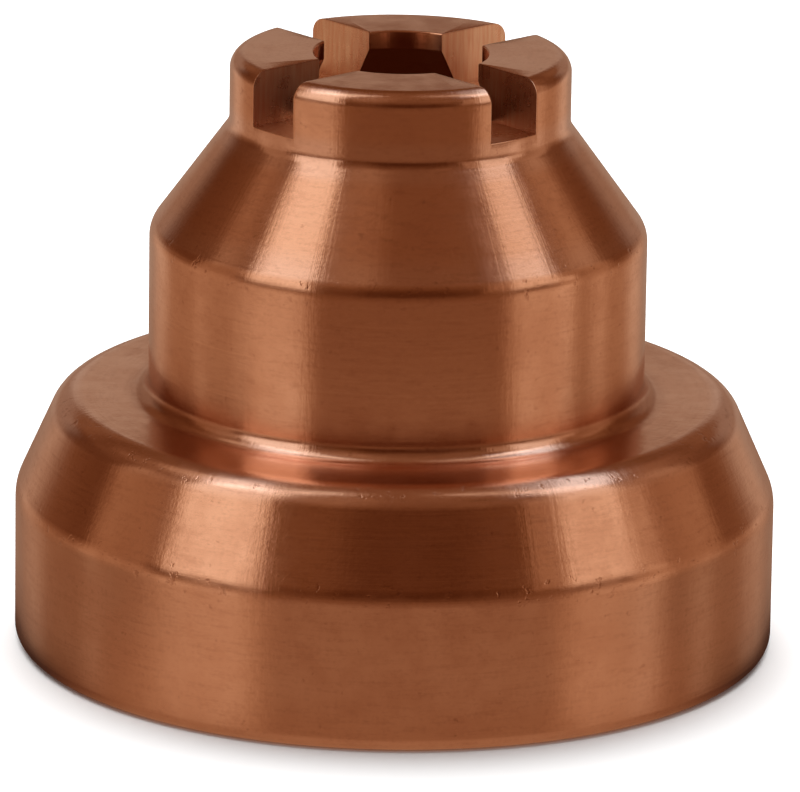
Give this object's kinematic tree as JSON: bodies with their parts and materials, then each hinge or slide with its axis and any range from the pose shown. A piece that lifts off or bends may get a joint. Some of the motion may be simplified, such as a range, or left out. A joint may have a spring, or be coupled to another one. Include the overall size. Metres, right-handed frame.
{
  "type": "plasma drag shield",
  "caption": "Stepped copper shield for a plasma torch: a wide threaded rim, a plain barrel, a cone and a slotted crown round the front bore.",
  "frame": {"origin": "centre of the rim's flat face, where the shield stands", "axes": "+Z along the bore, from the threaded rim to the slotted front; the slots lie on the diagonals between X and Y"},
  "size_m": [0.025, 0.025, 0.0199],
  "materials": {
    "copper": "bare copper, fine turned"
  },
  "bodies": {
    "root": {"drag_shield": "copper"}
  },
  "joints": []
}
